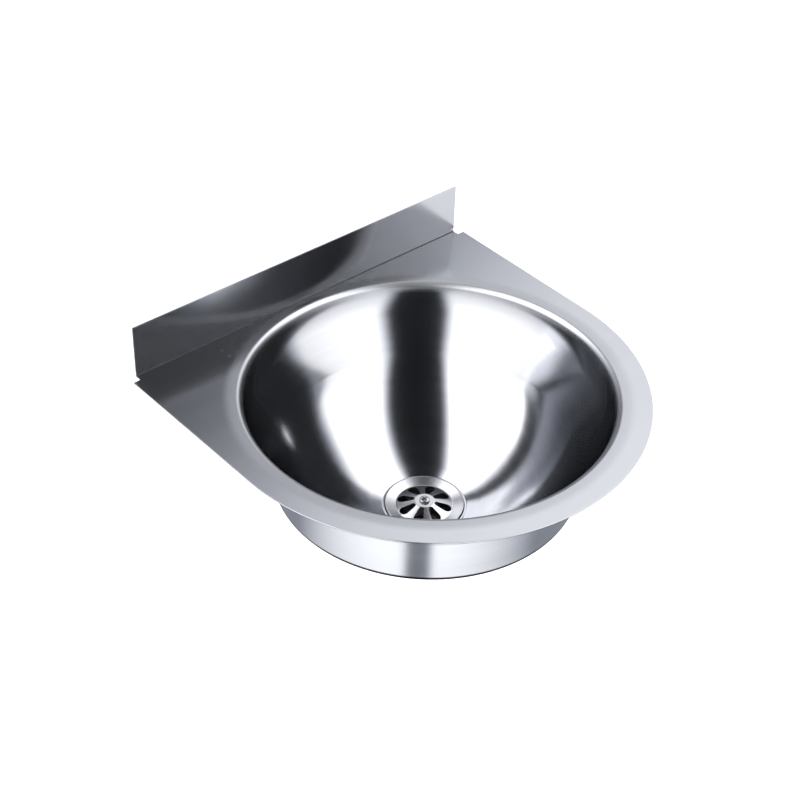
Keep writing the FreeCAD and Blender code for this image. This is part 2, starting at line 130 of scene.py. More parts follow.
NET_STEP = 0.9 * MM  # of the net that the strainer is lifted from
NET_MARGIN = 0.35 * MM  # no net points nearer to a slot
NET_MIN_GAP = 0.12 * MM  # between the net's rings
RIM_STEPS = 144
HOLE_STEPS = 24
HUB_RISE = 1.9 * MM  # hub above the strainer's edge
FLANGE_TOP = HUB_TOP - HUB_RISE
STRAINER_FOOT = FLANGE_TOP - STRAINER_EDGE
SEAL_INNER = 35.0 * MM
SEAL_OUTER = 38.2 * MM
SEAL_THICK = 0.8 * MM
SEAL_BEND = 0.6 * SEAL_THICK

# ---- strainer screw ----
CROSS_REACH = 3.5 * MM
CROSS_HALF_WIDTH = 0.6 * MM
CROSS_DEPTH = 2.1 * MM
CROSS_TAPER = 0.7
HEAD_CROWN = 0.6 * MM
HEAD_ROUND = 0.4 * MM
HEAD_EASE = 0.12 * MM  # half way round the head's edge: inwards and down
HEAD_SHOULDER = 0.1 * MM
HEAD_STEPS = 64
CROWN_RINGS = (0.9, 0.76)  # shares of the head's radius
CROWN_STEPS = 40
SHANK_RADIUS = 2.4 * MM
POINT_RADIUS = 0.7 * SHANK_RADIUS
POINT_LENGTH = SHANK_RADIUS / 3

# ---- thread of the waste's tail, G 1 1/2 ----
TAIL_RADIUS = 23.9 * MM
THREAD_PITCH = 2.309 * MM
THREAD_HEIGHT = 0.4 * MM
THREAD_LENGTH = 23.0 * MM
THREAD_START = 1.6 * MM
THREAD_ROOT = -0.1 * MM  # sunk in the tail
THREAD_FOOT = 0.42  # half widths of the ridge, in pitches
THREAD_CREST = 0.07
THREAD_STEPS = 96  # in one turn

# ---- weld beads ----
BEAD_RADIUS = 1.3 * MM
SKIRT_BEAD_SINK = BEAD_RADIUS / 2  # so that a bead doesn't come through the sheet
RIM_BEAD_SINK = BEAD_RADIUS / 3
BEAD_STEP = 0.5 * MM
BEAD_SIDES = 8
BEAD_MIN_STEPS = 6
UPRIGHT = 0.9  # a bead that runs as steeply as this counts as upright
RIPPLE_STEPS = 4  # steps in one ripple of a bead
RIPPLE_LEVEL = 0.84  # size between two ripples
RIPPLE_RISE = 0.16
BEAD_END = 0.35  # size at an open end, and its growth with each step
BEAD_GROWTH = 0.2
STITCH = 12.0 * MM
SHORT_STITCH = 0.7 * STITCH
STITCH_INSET = 2.0 * MM  # from a gusset's corner, and at its other ends
STITCH_REAR_INSET = 5.0 * MM
STITCH_TOP_INSET = 8.0 * MM
HOOK_WELD_START = 2.5 * MM  # behind the hanger's leg, and from the hook's back
HOOK_WELD_END = 3.5 * MM
TAG_WELD_INSET = 1.0 * MM

SPIN_STEPS = 288  # faces round the large spun pieces
ARC_STEP = radians(3)
SHARP_ANGLE = radians(32)
MERGE = 1e-7
SEAM_MERGE = 5e-6  # where the strainer's net meets its rim
ON_RIM = 1e-6
NET_EPSILON = 1e-9
HOLD = 0.25 * MM  # distance of the edge loops that hold a flat flat
EDGE_HOLD = 2 * HOLD
SHORT_RUN = 3 * HOLD  # a run no longer than this gets none


# ======== mesh helpers ========

def direction(angle):
    """Way down a slope that runs towards the axis, as (radius, height)."""
    return Vector((-cos(radians(angle)), -sin(radians(angle))))


def crossing(start, start_way, end, end_way):
    gap = end - start
    run = gap.cross(end_way) / start_way.cross(end_way)
    return start + start_way * run


def bent_path(corners, bends):
    """Points of straight runs joined by tangent arcs, each with the unit vector to its left."""
    corners = [Vector(corner) for corner in corners]
    ways = [(b - a).normalized() for a, b in zip(corners, corners[1:])]
    lefts = [Vector((-way.y, way.x)) for way in ways]
    path = [(corners[0], lefts[0])]
    for index, bend in enumerate(bends):
        corner, before, after = corners[index + 1], ways[index], ways[index + 1]
        turn = before.angle_signed(after)
        reach = bend * tan(abs(turn) / 2)
        side = 1 if before.cross(after) > 0 else -1
        centre = corner - before * reach + lefts[index] * side * bend
        steps = max(2, ceil(abs(turn) / ARC_STEP))
        arc = []
        for step in range(steps + 1):
            spin = abs(turn) * step / steps * side
            left = Matrix.Rotation(spin, 2) @ lefts[index]
            arc.append((centre - left * side * bend, left))
        if (arc[0][0] - path[-1][0]).length > SHORT_RUN:
            path.append((arc[0][0] - before * HOLD, lefts[index]))
        path += arc
        if (corners[index + 2] - arc[-1][0]).length > SHORT_RUN:
            path.append((arc[-1][0] + after * HOLD, lefts[index + 1]))
    path.append((corners[-1], lefts[-1]))
    return path


def at_radius(path, radius):
    """Height of a section at a distance from the axis, and the unit vector to its left."""
    for (outer, outer_left), (inner, inner_left) in zip(path, path[1:]):
        if inner.x - MERGE <= radius <= outer.x + MERGE and outer.x > inner.x:
            share = min(1, max(0, (outer.x - radius) / (outer.x - inner.x)))
            return (outer.y + (inner.y - outer.y) * share,
                    outer_left.lerp(inner_left, share).normalized())
    return path[-1][0].y, path[-1][1]


def sheet_section(path, thickness):
    """Closed outline of a sheet that lies to the left of the path, or right if negative."""
    return [point for point, _ in path] + [point + left * thickness for point, left in path[::-1]]


def linked(name, data):
    """An object in the scene."""
    made = bpy.data.objects.new(name, data)
    bpy.context.scene.collection.objects.link(made)
    return made


def to_mesh(name, bm, *finishes):
    mesh = bpy.data.meshes.new(name)
    bm.to_mesh(mesh)
    bm.free()
    for finish in finishes:
        mesh.materials.append(finish)
    return mesh


def to_object(name, bm, *finishes):
    """Makes the object, shades it and lets it ride on the sink."""
    bmesh.ops.remove_doubles(bm, verts=bm.verts, dist=MERGE)
    bmesh.ops.recalc_face_normals(bm, faces=bm.faces)
    mesh = to_mesh(name, bm, *finishes)
    mesh.shade_smooth()
    mesh.set_sharp_from_angle(angle=SHARP_ANGLE)
    made = linked(name, mesh)
    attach(made, "root")
    return made


def circle(radius, steps):
    return [Vector((cos(2 * pi * step / steps), sin(2 * pi * step / steps))) * radius
            for step in range(steps)]


def spin_section(bm, section, steps=SPIN_STEPS, closed=True):
    """Turns a section of (radius, height) points about the bowl's axis."""
    rings = [[bm.verts.new(AXIS + Vector((*way, 0)) * p.x + UP * p.y) for p in section]
             for way in circle(1.0, steps)]
    count = len(section)
    for here, there in zip(rings, rings[1:] + rings[:1]):
        for index in range(count if closed else count - 1):
            after = (index + 1) % count
            bm.faces.new((here[index], there[index], there[after], here[after]))


def spun(name, section, *finishes, steps=SPIN_STEPS):
    bm = bmesh.new()
    spin_section(bm, section, steps)
    return to_object(name, bm, *finishes)


def band(bm, here, there):
    """Faces between two closed rows of vertices."""
    faces = []
    for index in range(len(here)):
        after = (index + 1) % len(here)
        faces.append(bm.faces.new((here[index], here[after], there[after], there[index])))
    return faces


def looped(loops):
    """Points of closed outlines in one row, and the edges that join them."""
    points, edges = [], []
    for loop in loops:
        first = len(points)
        points += loop
        edges += [(first + i, first + (i + 1) % len(loop)) for i in range(len(loop))]
    return points, edges


def middle_of(points):
    return sum(points, Vector((0, 0))) / len(points)


def drop_loose(bm):
    loose = [vert for vert in bm.verts if not vert.link_faces]
    bmesh.ops.delete(bm, geom=loose, context="VERTS")


# ======== node helpers ========

def node(tree, kind, inputs=None, **settings):
    """Adds a shader node and gives its outputs. Inputs are values or outputs of other nodes."""
    made = tree.nodes.new("ShaderNode" + kind)
    for name, value in settings.items():
        setattr(made, name, value)
    for name, value in (inputs or {}).items():
        socket = made.inputs[name]
        if isinstance(value, bpy.types.NodeSocket):
            tree.links.new(value, socket)
        else:
            socket.default_value = value
    return made.outputs


def maths(tree, operation, first, second=0.0, third=0.0):
    return node(tree, "Math", {0: first, 1: second, 2: third}, operation=operation)[0]


def apart(tree, first, second):
    return maths(tree, "ABSOLUTE", maths(tree, "SUBTRACT", first, second))


def vector_maths(tree, operation, *inputs):
    """Outputs of a vector sum: the first is the vector, Value is the number."""
    return node(tree, "VectorMath", dict(enumerate(inputs)), operation=operation)


def product(tree, *values):
    result = values[0]
    for value in values[1:]:
        result = maths(tree, "MULTIPLY", result, value)
    return result


def mapped(tree, value, low, high, to_low=0.0, to_high=1.0, smooth=False):
    """A value carried from one range to another and held at its ends."""
    return node(tree, "MapRange",
                {"Value": value, "From Min": low, "From Max": high,
                 "To Min": to_low, "To Max": to_high},
                interpolation_type="SMOOTHSTEP" if smooth else "LINEAR")[0]


def noise(tree, vector, scale=1.0, detail=3.0, roughness=0.55):
    return node(tree, "TexNoise", {"Vector": vector, "Scale": scale, "Detail": detail,
                                   "Roughness": roughness})["Fac"]


def stretched(tree, vector, scale, turn=(0, 0, 0)):
    return node(tree, "Mapping", {"Vector": vector, "Scale": scale, "Rotation": turn})[0]


def new_group(name, inputs, outputs):
    """A shared group with a position and numbers as inputs, its inputs and its output node."""
    group = bpy.data.node_groups.new(name, "ShaderNodeTree")
    add = group.interface.new_socket
    add("Position", in_out="INPUT", socket_type="NodeSocketVector")
    for label, value in inputs.items():
        add(label, in_out="INPUT", socket_type="NodeSocketFloat").default_value = value
    for label in outputs:
        add(label, in_out="OUTPUT", socket_type="NodeSocketFloat")
    return group, group.nodes.new("NodeGroupInput").outputs, group.nodes.new("NodeGroupOutput")


def placed(tree, group, position, **inputs):
    """Outputs of a shared group that is placed in a finish."""
    return node(tree, "Group", {"Position": position, **inputs}, node_tree=group)


def feed(tree, target, values):
    """Links outputs to the named inputs of a node."""
    for name, value in values.items():
        tree.links.new(value, target.inputs[name])


def split(tree, vector):
    return node(tree, "SeparateXYZ", {0: vector})


def about_axis(tree, position):
    """X, Y and height of each point as seen from the bowl's axis, and its distance from it."""
    x, y, height = split(tree, vector_maths(tree, "SUBTRACT", position, AXIS)[0])
    reach = maths(tree, "SQRT", maths(tree, "ADD", maths(tree, "POWER", x, 2.0),
                                      maths(tree, "POWER", y, 2.0)))
    return x, y, height, reach


# ======== shared finishes ========

NOISE_RANGE = (0.3, 0.7)  # where most of a noise's values lie
BROAD_STRETCH = (5, 34, 34)  # slow bands along a belt-ground sheet, per metre
SMUDGE_STRETCH = (9, 16, 12)
SMUDGE_TURN = (0.2, 0.4, 0.6)
SMUDGE_SHARE = (0.48, 0.72)  # noise values where a smudge begins and is full
HAIR_KINDS = ((0.35, 240, 26, 0.10), (-0.9, 300, 40, 0.06))  # turn, cells per metre, share
HAIR_TILT = 0.3
HAIR_WIDTH = 0.05  # in cells
HAIR_TAPER = 0.1  # where a scratch starts to fade, in cells from its middle
SPOT_SCALE = 85.0
SPOT_RIM = (0.05, 0.33)
SPOT_PATCHES = 11.0
SPOT_SHARE = (0.6, 0.68)
SCRATCH_DEPTH = 0.02 * MM
SCRATCH_STRENGTH = 0.4
DUST_RANGE = (0.45, 0.8)
HEAT_RANGE = (0.38, 0.62)
MOULD_GLOSSIER = 0.06
MOULD_DULLER = 0.1
MOULD_STRENGTH = 0.6
MARK_DULLING = {"Smudge": 0.05, "Scratch": 0.12, "Spot": 0.06}
# Painted shade in the inner corner of the upstand's fold: its colour, how much it dulls the gloss,
# and its width.
FOLD_SHADE_COLOUR = (0.16, 0.165, 0.18)
FOLD_DULLING = 0.3
FOLD_BAND = (0.3 * MM, 1.0 * MM)
WELD_BAND = (4 * MM, 16 * MM)
WELD_BAND_RADIUS = LIP_RADIUS - 4 * MM
LIGHT_MARKS = {"Smudges": 0.3, "Scratches": 0.25, "Spots": 0.2}
FAINT_MARKS = {"Smudges": 0.3, "Scratches": 0.2, "Spots": 0.2}
SHOP_MARKS = {"Smudges": 0.9, "Scratches": 0.9, "Spots": 0.2}


def make_spun_grain():
    """Fine rings left by the spinning roller and the polishing belt, round the bowl's axis."""
    group, given, out = new_group("spun_grain", {"Lines": 2200.0, "Broad": 90.0},
                                  ("Height", "Variation"))
    x, y, height, reach = about_axis(group, given["Position"])
    run = maths(group, "ADD", reach, height)
    round_turn = maths(group, "SINE", maths(group, "ARCTAN2", y, x))
    fine, broad = (node(group, "CombineXYZ", {0: maths(group, "MULTIPLY", run, given[spacing]),
                                              1: round_turn})[0]
                   for spacing in ("Lines", "Broad"))
    feed(group, out, {"Height": noise(group, fine, detail=4.0, roughness=0.6),
                      "Variation": noise(group, broad)})
    return group


def make_brushed_grain():
    """Straight belt grain of a satin sheet, along X."""
    group, given, out = new_group("brushed_grain", {"Lines": 1500.0, "Length": 14.0},
                                  ("Height", "Variation"))
    spread = node(group, "CombineXYZ", {0: given["Length"], 1: given["Lines"],
                                        2: given["Lines"]})[0]
    lines = vector_maths(group, "MULTIPLY", given["Position"], spread)[0]
    broad = stretched(group, given["Position"], BROAD_STRETCH)
    feed(group, out, {"Height": noise(group, lines, detail=4.0, roughness=0.65),
                      "Variation": noise(group, broad)})
    return group


def hairlines(tree, position, turn, across, lengthwise, share):
    """Thin straight scratches: one in some of the long cells of a turned net."""
    turned = stretched(tree, position, (lengthwise, across, across), (HAIR_TILT, 0, turn))
    chance = node(tree, "TexWhiteNoise", {"Vector": vector_maths(tree, "FLOOR", turned)[0]})
    place, luck, _ = split(tree, chance["Color"])
    far, side, _ = split(tree, vector_maths(tree, "FRACTION", turned)[0])
    return product(tree, mapped(tree, apart(tree, side, place), 0.0, HAIR_WIDTH, 1.0, 0.0, True),
                   mapped(tree, apart(tree, far, 0.5), HAIR_TAPER, 0.5, 1.0, 0.0, True),
                   maths(tree, "LESS_THAN", luck, share))


def make_handling_marks():
    """Wiping smudges, hairline scratches and dried water spots."""
    group, given, out = new_group(
        "handling_marks", {"Smudges": 0.5, "Scratches": 0.5, "Spots": 0.5},
        ("Smudge", "Scratch", "Spot"))
    position = given["Position"]
    cloud = noise(group, stretched(group, position, SMUDGE_STRETCH, SMUDGE_TURN), detail=4.0,
                  roughness=0.6)
    smudge = mapped(group, cloud, *SMUDGE_SHARE, smooth=True)
    hairs = maths(group, "MAXIMUM", *(hairlines(group, position, *kind) for kind in HAIR_KINDS))
    drops = node(group, "TexVoronoi", {"Vector": position, "Scale": SPOT_SCALE}, feature="F1")
    ring = maths(group, "PINGPONG", mapped(group, drops["Distance"], *SPOT_RIM, 0.0, 2.0), 1.0)
    few = mapped(group, noise(group, position, SPOT_PATCHES, 2.0), *SPOT_SHARE)
    feed(group, out, {"Smudge": product(group, smudge, given["Smudges"]),
                      "Scratch": product(group, hairs, given["Scratches"]),
                      "Spot": product(group, ring, few, given["Spots"])})
    return group


def make_mottle():
    """Slow change of tone and gloss, with a fine skin, as on rolled or moulded stock."""
    group, given, out = new_group("mottle", {"Patches": 40.0, "Skin": 2600.0},
                                  ("Patch", "Height"))
    feed(group, out, {"Patch": noise(group, given["Position"], given["Patches"], 4.0, 0.6),
                      "Height": noise(group, given["Position"], given["Skin"], 3.0, 0.7)})
    return group


SPUN_GRAIN = make_spun_grain()
BRUSHED_GRAIN = make_brushed_grain()
HANDLING_MARKS = make_handling_marks()
MOTTLE = make_mottle()


def new_material(name, **settings):
    """A material and its surface shader. Settings go to the shader's inputs of the same name."""
    finish = bpy.data.materials.new(name)
    finish.use_nodes = True
    surface = finish.node_tree.nodes["Principled BSDF"]
    for label, value in settings.items():
        surface.inputs[label.replace("_", " ")].default_value = value
    return finish, surface


def new_finish(name, metallic, **settings):
    """A material, its nodes and surface shader, and where on the sink each point lies."""
    finish, surface = new_material(name, Metallic=metallic, **settings)
    tree = finish.node_tree
    return finish, tree, surface, node(tree, "TexCoord")["Object"]


def blend_colour(tree, share, first, second):
    """Blend of two colours. Each is three numbers or the output of another node."""
    ends = [end if isinstance(end, bpy.types.NodeSocket) else (*end, 1)
            for end in (first, second)]
    return node(tree, "Mix", {"Factor": share, "A": ends[0], "B": ends[1]},
                data_type="RGBA")["Result"]


def bump(tree, height, depth, strength=1.0, **before):
    """A bump, upon another one if that is given as Normal."""
    return node(tree, "Bump", {"Height": height, "Strength": strength, "Distance": depth,
                               **before})[0]


def steel(name, grain, colours, roughness, variation, grain_depth, marks, fold=None,
          weld_gloss=0.0, **spacing):
    """Stainless steel with a grain, handling marks and a slow change of gloss, and painted shade
    in a fold where one is given.
    """
    finish, tree, surface, position = new_finish(name, 1.0)
    lines = placed(tree, grain, position, **spacing)
    handled = placed(tree, HANDLING_MARKS, position, **marks)
    tone = maths(tree, "MAXIMUM", mapped(tree, lines["Variation"], *NOISE_RANGE),
                 handled["Smudge"])
    colour = blend_colour(tree, tone, *colours)
    gloss = maths(tree, "MULTIPLY_ADD", lines["Variation"], variation, roughness - variation / 2)
    # Painted shade: the inner corner of a fold is darkened and its gloss dulled.
    if fold:
        close = near_fold_shade(tree, position, fold)
        colour = blend_colour(tree, close, colour, FOLD_SHADE_COLOUR)
        gloss = maths(tree, "MULTIPLY_ADD", close, FOLD_DULLING, gloss)
    if weld_gloss:
        gloss = maths(tree, "MULTIPLY_ADD", near_weld(tree, position), weld_gloss, gloss)
    for label, share in MARK_DULLING.items():
        gloss = maths(tree, "MULTIPLY_ADD", handled[label], share, gloss)
    grained = bump(tree, lines["Height"], grain_depth)
    feed(tree, surface, {
        "Base Color": colour, "Roughness": gloss,
        "Normal": bump(tree, handled["Scratch"], SCRATCH_DEPTH, SCRATCH_STRENGTH,
                       Normal=grained)})
    return finish


def near_fold_shade(tree, position, fold):
    """1 in the inner corner of a fold: where painted shade darkens the sheet and its gloss is
    duller.
    """
    off = vector_maths(tree, "SUBTRACT", position, fold)[0]
    off = vector_maths(tree, "MULTIPLY", off, (0, 1, 1))[0]
    gap = vector_maths(tree, "LENGTH", off)["Value"]
    return mapped(tree, gap, *FOLD_BAND, 1.0, 0.0, True)


def near_weld(tree, position):
    """1 along the bowl's rim, where the ground weld leaves a duller, softer band."""
    _, _, height, reach = about_axis(tree, position)
    gap = maths(tree, "ADD", apart(tree, reach, WELD_BAND_RADIUS), apart(tree, height, DECK_TOP))
    return mapped(tree, gap, *WELD_BAND, 1.0, 0.0, True)


# The deck's finish carries painted shade along the upstand's fold.
deck_finish = steel(
    "deck_satin", BRUSHED_GRAIN, ((0.61, 0.62, 0.65), (0.63, 0.64, 0.67)),
    roughness=0.19, variation=0.02, grain_depth=0.0006 * MM, marks=LIGHT_MARKS,
    fold=Vector((0, -SHEET, DECK_TOP)), weld_gloss=0.16)
bowl_finish = steel(
    "bowl_spun", SPUN_GRAIN, ((0.62, 0.625, 0.65), (0.66, 0.665, 0.69)),
    roughness=0.13, variation=0.03, grain_depth=0.0005 * MM, marks=FAINT_MARKS, weld_gloss=0.22)
skirt_finish = steel(
    "skirt_rolled", SPUN_GRAIN, ((0.62, 0.63, 0.655), (0.66, 0.67, 0.69)),
    roughness=0.17, variation=0.04, grain_depth=0.0008 * MM, marks=FAINT_MARKS)
strainer_finish = steel(
    "strainer_polished", SPUN_GRAIN, ((0.64, 0.64, 0.66), (0.70, 0.70, 0.72)),
    roughness=0.24, variation=0.04, grain_depth=0.0006 * MM, marks=FAINT_MARKS,
    Lines=5000.0, Broad=400.0)
fastener_finish = steel(
    "fastener_steel", SPUN_GRAIN, ((0.50, 0.50, 0.51), (0.62, 0.62, 0.63)),
    roughness=0.24, variation=0.08, grain_depth=0.002 * MM, marks=SHOP_MARKS,
    Lines=4000.0, Broad=500.0)
# Painted shade: near-black steel on the walls and floor of the screw's cross recess stands in for
# the shade inside it.
recess_shade_finish = steel(
    "fastener_recess_painted_shade", BRUSHED_GRAIN, ((0.05, 0.05, 0.06), (0.12, 0.12, 0.13)),
    roughness=0.5, variation=0.1, grain_depth=0.004 * MM, marks=SHOP_MARKS)
fixing_finish = steel(
    "fixing_mill", BRUSHED_GRAIN, ((0.46, 0.465, 0.47), (0.56, 0.565, 0.57)),
    roughness=0.38, variation=0.12, grain_depth=0.004 * MM, marks=SHOP_MARKS,
    Lines=900.0, Length=40.0)


def make_brass():
    """Turned brass, stained dark where water stands."""
    finish, tree, surface, position = new_finish("turned_brass", 1.0)
    patch = placed(tree, MOTTLE, position, Patches=260.0)["Patch"]
    rings = placed(tree, SPUN_GRAIN, position, Lines=6000.0)["Height"]
    feed(tree, surface, {
        "Base Color": blend_colour(tree, patch, (0.12, 0.085, 0.045), (0.24, 0.18, 0.09)),
        "Roughness": mapped(tree, patch, *NOISE_RANGE, 0.42, 0.26),
        "Normal": bump(tree, rings, 0.01 * MM)})
    return finish


def make_moulded(name, colours, roughness, patches, skin_depth, **settings):
    """Moulded rubber or plastic: fine skin, dusty patches and uneven gloss."""
    finish, tree, surface, position = new_finish(name, 0.0, **settings)
    skin = placed(tree, MOTTLE, position, Patches=patches)
    marks = placed(tree, HANDLING_MARKS, position, **SHOP_MARKS)
    dust = maths(tree, "MAXIMUM", mapped(tree, skin["Patch"], *DUST_RANGE), marks["Scratch"])
    feed(tree, surface, {
        "Base Color": blend_colour(tree, dust, *colours),
        "Roughness": mapped(tree, skin["Patch"], *NOISE_RANGE, roughness - MOULD_GLOSSIER,
                            roughness + MOULD_DULLER),
        "Normal": bump(tree, skin["Height"], skin_depth, MOULD_STRENGTH)})
    return finish


brass_finish = make_brass()
rubber_finish = make_moulded(
    "seal_rubber", ((0.022, 0.022, 0.024), (0.06, 0.06, 0.062)),
    roughness=0.62, patches=90.0, skin_depth=0.04 * MM, IOR=1.52)
plastic_finish = make_moulded(
    "waste_plastic", ((0.03, 0.03, 0.033), (0.075, 0.075, 0.08)),
    roughness=0.42, patches=60.0, skin_depth=0.03 * MM, IOR=1.5)


def make_weld_finish():
    """Bead metal, coarser than the sheet, with straw and blue left by the heat."""
    finish, tree, surface, position = new_finish("weld_bead", 1.0)
    spots = placed(tree, MOTTLE, position, Patches=55.0, Skin=1500.0)
    heat = mapped(tree, spots["Patch"], *HEAT_RANGE)
    feed(tree, surface, {
        "Base Color": blend_colour(tree, heat, (0.36, 0.30, 0.22), (0.40, 0.42, 0.48)),
        "Roughness": mapped(tree, spots["Patch"], *NOISE_RANGE, 0.44, 0.3),
        "Normal": bump(tree, spots["Height"], 0.02 * MM)})
    return finish


weld_finish = make_weld_finish()


# ======== pieces ========

def bowl_path():
    """Wet side of the bowl from the welded lip to the waste hole, as (radius, height)."""
    rim_reach = RIM_BEND * tan(radians(COLLAR_ANGLE) / 2)
    ease_reach = COLLAR_SWEEP * tan(radians(COLLAR_ANGLE - WALL_ANGLE) / 2)
    lip = Vector((LIP_RADIUS, DECK_TOP))
    rim = Vector((LIP_RADIUS - LIP_WIDTH - rim_reach, DECK_TOP))
    collar = rim + direction(COLLAR_ANGLE) * (rim_reach + ease_reach)
    seat = Vector((SEAT_RADIUS, SEAT_TOP))
    foot = crossing(collar, direction(WALL_ANGLE), seat, direction(FLOOR_ANGLE))
    hole = Vector((WASTE_HOLE_RADIUS, SEAT_TOP))
    return bent_path([lip, rim, collar, foot, seat, hole],
                     [RIM_BEND, COLLAR_SWEEP, FLOOR_SWEEP, SEAT_BEND])


def make_bowl():
    bowl = spun("bowl_shell", sheet_section(bowl_path(), SHEET), bowl_finish, deck_finish)
    ground_from = LIP_RADIUS - LIP_WIDTH - GROUND_PAST
    for face in bowl.data.polygons:
        away = (face.center - AXIS).xy.length
        if away > ground_from and face.center.z > DECK_TOP - GROUND_DEPTH:
            face.material_index = 1
    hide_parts("bowl")


def dry_side_height(radius):
    """Height of the bowl's dry side at a distance from the axis."""
    return at_radius([(point + left * SHEET, left) for point, left in bowl_path()], radius)[0]


def make_skirt():
    """Rolled ring under the bowl with its lower edge turned in."""
    corners = [(SKIRT_RADIUS, dry_side_height(SKIRT_RADIUS)), (SKIRT_RADIUS, SKIRT_BOTTOM),
               (SKIRT_RADIUS - SKIRT_RETURN, SKIRT_BOTTOM)]
    section = sheet_section(bent_path(corners, [SKIRT_BEND]), -SHEET)
    section[-1] = Vector((SKIRT_RADIUS - SHEET, dry_side_height(SKIRT_RADIUS - SHEET)))
    skirt = spun("skirt_ring", section, skirt_finish)
    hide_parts("skirt")


def outline_reach(angle):
    """Distance from the bowl's axis to the deck's edge: straight sides and rear, round front."""
    out = Vector((cos(angle), sin(angle)))
    if out.y <= 0:
        return DECK_RADIUS
    return min(DECK_REAR / out.y, DECK_RADIUS / abs(out.x) if out.x else inf)


def deck_column(out, reach, folded, fold):
    """Points across the plate from the hole to the edge, and on up the fold where there is one."""
    inner = AXIS + out * LIP_RADIUS
    outer = AXIS + out * reach
    holds = [inner, inner + out * HOLD, outer - out * EDGE_HOLD, outer]
    top, under = ([point + UP * height for point in holds] for height in (DECK_TOP, DECK_UNDER))
    if folded:
        top += [Vector((outer.x, *point)) for point, _ in fold]
        under += [Vector((outer.x, *(point - left * SHEET))) for point, left in fold]
    return top, under


def make_deck():
    """Deck plate round the bowl's lip, folded up at the back into the upstand."""
    fold_end = DECK_RADIUS - UPSTAND_INSET
    fold_turn = atan2(DECK_REAR, fold_end)
    turns = {2 * pi * step / SPIN_STEPS for step in range(SPIN_STEPS)}
    for x, y in ((fold_end, DECK_REAR), (fold_end - EDGE_HOLD, DECK_REAR),
                 (DECK_RADIUS, DECK_REAR), (DECK_RADIUS - EDGE_HOLD, DECK_REAR),
                 (DECK_RADIUS, DECK_REAR - EDGE_HOLD)):
        turns |= {atan2(y, x), pi - atan2(y, x)}
    fold = bent_path([(-CORNER_SETBACK, DECK_TOP), (-SHEET, DECK_TOP), (-SHEET, UPSTAND_TOP)],
                     [UPSTAND_BEND])[1:]
    fold.insert(-1, (fold[-1][0] - Vector((0, EDGE_HOLD)), fold[-1][1]))
    bm = bmesh.new()
    columns = []
    for turn in sorted(turns):
        out = Vector((cos(turn), sin(turn), 0))
        folded = fold_turn - MERGE <= turn <= pi - fold_turn + MERGE
        sides = deck_column(out, outline_reach(turn), folded, fold)
        columns.append([[bm.verts.new(point) for point in side] for side in sides])
    flat = len(columns[0][0])
    rims = []
    for here, there in zip(columns, columns[1:] + columns[:1]):
        last = min(len(here[0]), len(there[0])) - 1
        for near, far in zip(here, there):
            for index in range(last):
                bm.faces.new((near[index], far[index], far[index + 1], near[index + 1]))
            rims.append((near[last], far[last]))
        for index in (0, last):
            bm.faces.new((here[0][index], there[0][index], there[1][index], here[1][index]))
        if len(here[0]) != len(there[0]):
            top, under = max(here, there, key=lambda column: len(column[0]))
            for index in range(flat - 1, len(top) - 1):
                bm.faces.new((top[index], top[index + 1], under[index + 1], under[index]))
                rims += [(top[index], top[index + 1]), (under[index], under[index + 1])]
    bmesh.ops.recalc_face_normals(bm, faces=bm.faces)
    bmesh.ops.bevel(bm, geom=[bm.edges.get(pair) for pair in rims], offset=EDGE_ROUND,
                    segments=2, profile=0.5, affect="EDGES", clamp_overlap=True)
    deck = to_object("deck_plate", bm, deck_finish)
    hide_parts("deck_with_upstand")


# ---- strainer ----

def strainer_path():
    """Upper side of the strainer from its edge over the dish to the screw hole."""
    corners = [
        (STRAINER_RADIUS, STRAINER_FOOT),
        (STRAINER_RADIUS, FLANGE_TOP),
        (DISH_START_RADIUS, FLANGE_TOP - STRAINER_FALL),
        (DISH_RADIUS, FLANGE_TOP - DISH_DEPTH),
        (HUB_RADIUS, HUB_TOP),
        (SCREW_HOLE_RADIUS, HUB_TOP),
    ]
    return bent_path(corners, [STRAINER_EDGE_BEND, DISH_START_BEND, DISH_BEND, HUB_BEND])


def slot_arc(centre, radius, start, sweep):
    """Points of an arc about a point on the X axis."""
    turns = [start + sweep * step / SLOT_ARC_STEPS for step in range(SLOT_ARC_STEPS + 1)]
    return [Vector((centre + radius * cos(turn), radius * sin(turn))) for turn in turns]


def slot_outline():
    """One slot along +X, anticlockwise: narrow round inner end, wide round outer end."""
    inner = SLOT_INNER_REACH + SLOT_INNER_ROUND
    outer = SLOT_OUTER_REACH - SLOT_OUTER_ROUND
    flare = acos((SLOT_INNER_ROUND - SLOT_OUTER_ROUND) / (outer - inner))
    points = (slot_arc(outer, SLOT_OUTER_ROUND, -flare, 2 * flare)
              + slot_arc(inner, SLOT_INNER_ROUND, flare, 2 * (pi - flare)))
    whole = []
    for here, there in zip(points, points[1:] + points[:1]):
        steps = SLOT_SIDE_STEPS if (there - here).length > SLOT_INNER_ROUND else 1
        whole += [here.lerp(there, step / steps) for step in range(steps)]
    return whole


def turned_about_hub(points, angle):
    spin = Matrix.Rotation(angle, 2)
    return [spin @ point for point in points]


def inside(point, outline, margin=0.0):
    """True if a point lies in a convex anticlockwise outline, or within a margin of it."""
    for here, there in zip(outline, outline[1:] + outline[:1]):
        if (there - here).normalized().cross(point - here) < -margin:
            return False
    return True


